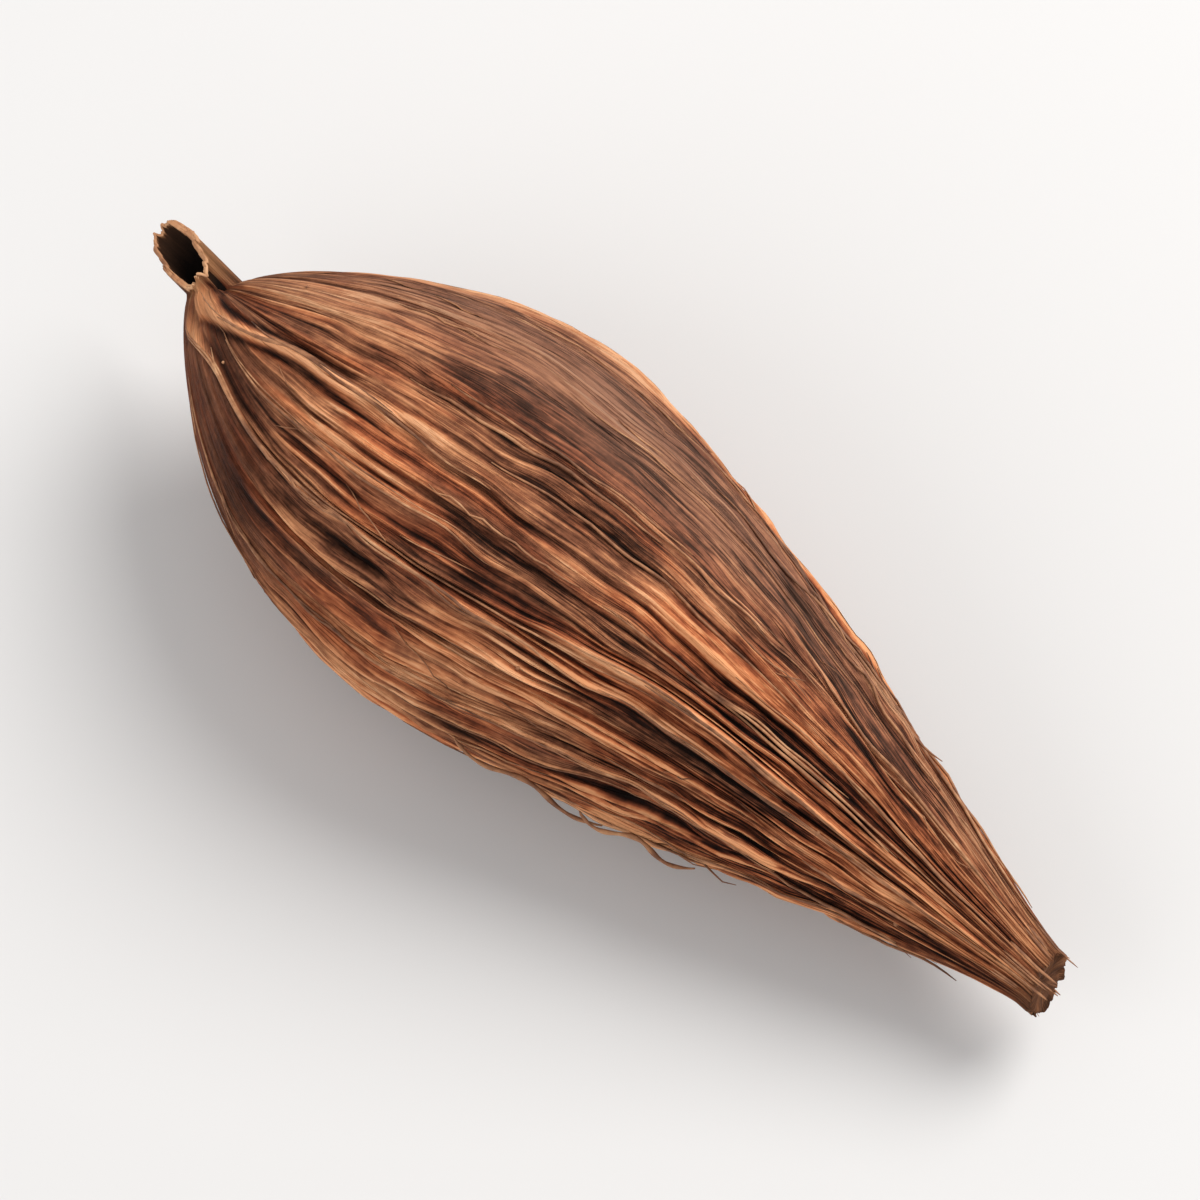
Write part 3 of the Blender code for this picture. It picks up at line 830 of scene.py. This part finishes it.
# short hairs that lie askew over the ribs
def addHairs(curve, rng):
    kind = fibres["hairs"]
    for _ in range(kind["count"]):
        share, fromTip = drawStretch(kind, rng)
        across = rng.uniform(0, ribCount) + eitherWay(rng, kind["askew"]) * share
        across = across + eitherWay(rng, kind["bend"]) * share**2
        lift = kind["lift"] * rng.uniform(*kind["liftShare"]) * share**1.5 + 2 * fibres["close"]
        points, _ = onSkin(across, fromTip, lift)
        addStrand(curve, points, tapered(share, rng.uniform(*kind["thick"])))


# broken fibres that stand out of the stalk's end
def addEnds(curve, rng):
    kind = fibres["ends"]
    share = np.linspace(0, 1, kind["points"])
    leavesAt = husk["length"] - kind["leaves"]
    for _ in range(kind["count"]):
        fromTip = husk["length"] - kind["starts"] + rng.uniform(*kind["length"]) * share
        across = rng.uniform(0, ribCount) + 0 * share
        points, angle = onSkin(across, np.minimum(fromTip, leavesAt), 0)
        reach = np.maximum(0, fromTip - leavesAt)
        outermost = husk["length"] / 2 + kind["longest"]
        points[:, 0] = np.minimum(points[:, 0] + kind["slope"] * reach, outermost)
        curl = kind["lift"] * rng.uniform(*kind["curls"]) * (reach * 1000) ** 1.5 / 1000
        points[:, 1] += curl * np.cos(angle + eitherWay(rng, kind["askew"]))
        points[:, 2] += curl * np.sin(angle + eitherWay(rng, kind["askew"]))
        addStrand(curve, points, tapered(share, rng.uniform(*kind["thick"])))


# fine strands along the bright crests, from the nose back
def addCrestStrands(curve, rng):
    kind = fibres["crestStrands"]
    for crest in raisedCrests:
        for _ in range(kind["count"]):
            length = rng.uniform(*kind["length"])
            start = crest["startsAt"] + rng.uniform(*kind["start"])
            share = pointsAlong(length)
            fromTip = start + length * share
            beside = rng.uniform(-1, 1)
            beside = beside + kind["wave"] * np.sin(kind["waveTurns"] * fromTip + rng.uniform(0, 6))
            angle = raisedCrestAngle(crest, fromTip) + kind["apart"] * beside / halfWidth(fromTip, 0.0)
            points, _ = onSkin(acrossAt(angle, fromTip), fromTip, fibres["close"])
            addStrand(curve, points, tapered(share, rng.uniform(*kind["thick"])))


# short wavy threads that have come off the side near the stalk
def addStray(curve, rng):
    form = fibres["strayForm"]
    share = np.linspace(0, 1, form["points"])
    loops = 1 - form["loop"] + form["loop"] * np.sin(form["loopTurns"] * share + 0.6)
    for kind in fibres["stray"]:
        fromTip = kind["start"] + kind["length"] * share
        angle = kind["angle"] + kind["turn"] * share + form["sway"] * np.sin(form["swayTurns"] * share)
        lift = kind["lift"] * loops * np.sin(np.pi * share) ** 0.6 + 3 * fibres["close"]
        radius = halfWidth(fromTip, angle) * unevenness(fromTip / husk["length"], angle) + lift
        thickness = tapered(share, form["thick"], form["endThick"])
        thickness = thickness * (1 + form["unevenThick"] * np.sin(form["thickTurns"] * share))
        addStrand(curve, place(fromTip, angle, radius), thickness)


# the frayed edge of the beak's mouth: fibres that run round it side by side, spread wider along its lip
def addRim(curve, rng):
    kind = fibres["rim"]
    angle = np.linspace(0, 2 * np.pi, kind["points"], endpoint=False)
    lip = swell(turnBetween(angle, skin["lipAngle"]), kind["lipTurn"])
    for strand in range(kind["strands"]):
        cells = angle * kind["cells"] / (2 * np.pi)
        uneven = softNoise(kind["seed"] + strand, 0 * angle, cells, kind["cells"])
        beside = (strand - (kind["strands"] - 1) / 2) * kind["spread"]
        fromTip = tornOff(angle) + kind["unevenLength"] * uneven + kind["lipWider"] * max(0, beside) * lip
        radius = (husk["mouthRadius"] + husk["beakRadius"]) / 2 - kind["inset"] + beside
        waves = kind["waves"][0] + kind["waves"][1] * strand
        thickness = 1 + kind["lipThicker"] * lip + kind["unevenThick"] * uneven
        thickness = kind["thick"] * (thickness + kind["waveThick"] * np.sin(waves * angle))
        points = place(fromTip, angle, radius + kind["unevenRadius"] * uneven)
        addStrand(curve, points, thickness, cyclic=True)


fibreFinish = {
    "stops": ((0.0, (0.060, 0.022, 0.011)), (0.40, (0.240, 0.100, 0.048)), (0.68, (0.430, 0.200, 0.095)),
              (1.0, (0.660, 0.370, 0.195))),
    "patches": (420.0, 3.0), "flecks": (3600.0, 2.0), "meanTone": 0.48, "patchTone": 1.7, "fleckTone": 0.8,
    "beakFrom": 0.0126, "beakOver": 0.0004, "beakTone": 0.26,
    "roughness": 0.62, "specular": 0.30, "bumpDistance": 0.00002, "bumpStrength": 0.8,
}


def fibreMaterial():
    graph, finish = Graph("fibres"), fibreFinish
    spot = graph.node("ShaderNodeTexCoord")[3]
    patches = graph.noise(spot, *finish["patches"])
    flecks = graph.noise(spot, *finish["flecks"])
    towardsTip = 0 - graph.node("ShaderNodeSeparateXYZ", {}, {0: spot})[0]
    onBeak = ((towardsTip - finish["beakFrom"]) / finish["beakOver"]).clamped()
    tone = (patches - 0.5) * finish["patchTone"] + (flecks - 0.5) * finish["fleckTone"]
    tone = (tone + onBeak * finish["beakTone"] + finish["meanTone"]).clamped()
    bump = graph.bump(flecks, finish["bumpDistance"], finish["bumpStrength"])
    graph.connect(graph.surface, {"Base Color": graph.ramp(tone, finish["stops"]), "Normal": bump,
                                  "Roughness": finish["roughness"], "Specular IOR Level": finish["specular"]})
    return graph.material


crumbFinish = {
    "stops": ((0.35, (0.390, 0.280, 0.170)), (0.60, (0.780, 0.560, 0.340))), "flecks": (6000.0, 2.0),
    "roughness": 0.50, "bumpDistance": 0.00001, "bumpStrength": 0.8,
}


def crumbMaterial():
    graph, finish = Graph("crumbs"), crumbFinish
    flecks = graph.noise(graph.node("ShaderNodeTexCoord")[3], *finish["flecks"])
    bump = graph.bump(flecks, finish["bumpDistance"], finish["bumpStrength"])
    graph.connect(graph.surface, {"Base Color": graph.ramp(flecks, finish["stops"]),
                                  "Roughness": finish["roughness"], "Normal": bump})
    return graph.material


# small pale crumbs that cling to the ribs, in the second material
def addCrumbs(tubes, rng):
    kind = fibres["crumbs"]
    for _ in range(kind["count"]):
        fromTip = np.array([rng.uniform(*kind["between"])])
        across = np.array([rng.uniform(0, ribCount)])
        radius = rng.uniform(*kind["radius"])
        spot = Vector(onSkin(across, fromTip, kind["stands"] * radius)[0][0])
        turn = Matrix.Rotation(rng.uniform(0, 6), 4, "X") @ Matrix.Rotation(rng.uniform(0, 6), 4, "Y")
        form = Matrix.Diagonal((rng.uniform(*kind["long"]), rng.uniform(*kind["wide"]), 1.0, 1.0))
        if spot.z > fibres["lowest"] + 2 * radius:
            made = bmesh.ops.create_icosphere(tubes, subdivisions=2, radius=radius,
                                              matrix=Matrix.Translation(spot) @ turn @ form)
            for face in {face for vert in made["verts"] for face in vert.link_faces}:
                face.material_index = 1


def makeFibres():
    curve = bpy.data.curves.new("pod_fibres", "CURVE")
    curve.dimensions = "3D"
    curve.bevel_depth = fibres["radius"]
    curve.bevel_resolution = fibres["roundness"]
    curve.use_fill_caps = True
    rng = np.random.default_rng(fibres["seed"])
    for add in (addRiding, addFrayed, addHairs, addEnds, addCrestStrands, addStray, addRim):
        add(curve, rng)
    guide = bpy.data.objects.new("fibreGuide", curve)
    bpy.context.scene.collection.objects.link(guide)
    mesh = bpy.data.meshes.new_from_object(guide.evaluated_get(bpy.context.evaluated_depsgraph_get()))
    bpy.data.objects.remove(guide, do_unlink=True)
    tubes = bmesh.new()
    tubes.from_mesh(mesh)
    bmesh.ops.remove_doubles(tubes, verts=tubes.verts, dist=fibres["merge"])
    bmesh.ops.recalc_face_normals(tubes, faces=tubes.faces)
    addCrumbs(tubes, rng)
    tubes.to_mesh(mesh)
    tubes.free()
    mesh.materials.clear()
    mesh.shade_smooth()
    piece = addPiece("pod_fibres", mesh, fibreMaterial())
    mesh.materials.append(crumbMaterial())
    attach(piece, "root")
    print("fibres:", len(mesh.polygons), "faces")


floor = {"size": 1.2, "colour": (0.70, 0.70, 0.705, 1.0), "roughness": 0.80}


def makeFloor():
    sheet = bmesh.new()
    bmesh.ops.create_grid(sheet, x_segments=1, y_segments=1, size=floor["size"] / 2)
    mesh = bpy.data.meshes.new("floor")
    sheet.to_mesh(mesh)
    sheet.free()
    graph = Graph("floor")
    graph.connect(graph.surface, {"Base Color": floor["colour"], "Roughness": floor["roughness"]})
    addPiece("floor", mesh, graph.material)


camera = {"azimuth": math.radians(40), "elevation": math.radians(70), "distance": 0.24, "lens": 288.0,
          "clip": (0.01, 10.0)}


def cameraAxes():
    turn, rise = camera["azimuth"], camera["elevation"]
    back = Vector((math.sin(turn) * math.cos(rise), -math.cos(turn) * math.cos(rise), math.sin(rise)))
    right = Vector((math.cos(turn), math.sin(turn), 0.0))
    return right, back.cross(right), back


def makeCamera():
    right, up, back = cameraAxes()
    target = (cadLow + cadHigh) / 2
    data = bpy.data.cameras.new("camera")
    data.lens = camera["lens"]
    data.clip_start, data.clip_end = camera["clip"]
    piece = bpy.data.objects.new("camera", data)
    piece.location = target + back * camera["distance"]
    piece.rotation_euler = back.to_track_quat("Z", "Y").to_euler()
    bpy.context.scene.collection.objects.link(piece)
    bpy.context.scene.camera = piece


# each lamp's place is given along the camera's right, up and back
lamps = {
    "key": {"at": (0.14, 0.18, 0.17), "size": 0.20, "watts": 0.72, "colour": (1.0, 0.975, 0.94)},
    "fill": {"at": (-0.22, -0.05, 0.20), "size": 0.24, "watts": 0.23, "colour": (1.0, 0.985, 0.97)},
}
sky = {"colour": (1.0, 0.99, 0.98, 1.0), "strength": 0.58}


def makeLights():
    right, up, back = cameraAxes()
    for name, lamp in lamps.items():
        data = bpy.data.lights.new(name, "AREA")
        data.shape = "DISK"
        data.size, data.energy, data.color = lamp["size"], lamp["watts"], lamp["colour"]
        piece = bpy.data.objects.new(name, data)
        toLamp = right * lamp["at"][0] + up * lamp["at"][1] + back * lamp["at"][2]
        piece.location = toLamp
        piece.rotation_euler = toLamp.to_track_quat("Z", "Y").to_euler()
        bpy.context.scene.collection.objects.link(piece)
    world = bpy.data.worlds.new("sky")
    world.use_nodes = True
    background = world.node_tree.nodes["Background"]
    background.inputs["Color"].default_value = sky["colour"]
    background.inputs["Strength"].default_value = sky["strength"]
    bpy.context.scene.world = world


makeCamera()
makeLights()
makeFloor()
print("stage: a camera,", len(lamps), "lamps and a floor")
makeSkin()
makeFibres()
bpy.context.scene.view_settings.view_transform = "Standard"
